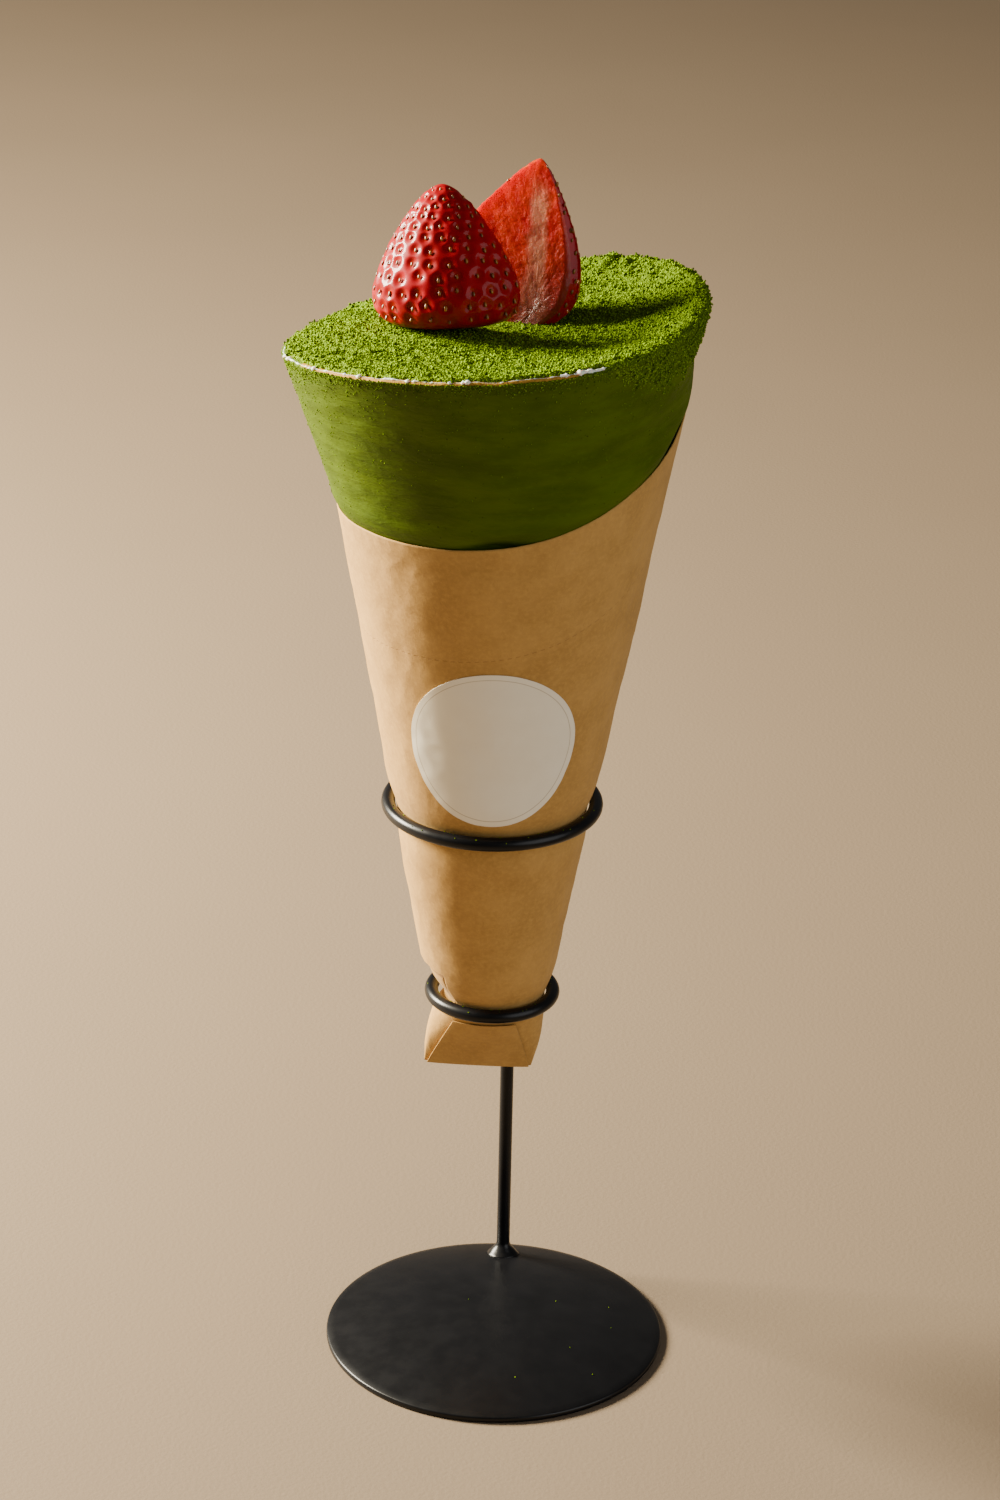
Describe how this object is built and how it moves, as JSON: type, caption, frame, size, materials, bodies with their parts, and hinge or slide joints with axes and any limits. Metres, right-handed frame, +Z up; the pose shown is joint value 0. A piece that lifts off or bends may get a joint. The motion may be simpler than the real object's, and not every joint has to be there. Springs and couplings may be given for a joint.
{
  "type": "crepe cone in a holder",
  "caption": "Green crepe cone filled with cream under green tea powder, topped with strawberry halves, in a paper sleeve held by a black wire stand.",
  "frame": {"origin": "middle of the flat underside of the stand's foot plate", "axes": "+Z up; the post stands at +Y behind the cone; the cone leans forward, towards -Y; the label faces -Y"},
  "size_m": [0.1142, 0.1317, 0.3638],
  "materials": {
    "stand_metal": "satin black powder coat",
    "sleeve_paper": "matte kraft paper with fine fibres",
    "label_paper": "smooth off-white label",
    "crepe": "soft green crepe dusted with powder",
    "powder": "dry bright green tea powder over cream",
    "cream": "whipped cream",
    "strawberry": "glossy red skin with seeds, wet cut flesh"
  },
  "bodies": {
    "root": {"stand_plate": "stand_metal", "stand_post": "stand_metal", "stand_ring_upper": "stand_metal", "stand_ring_lower": "stand_metal", "paper_sleeve": "sleeve_paper", "sleeve_label": "label_paper", "crepe_wrap": "crepe", "cream_and_powder": "powder", "strawberry_half_front": "strawberry", "strawberry_half_back": "strawberry"}
  },
  "joints": []
}
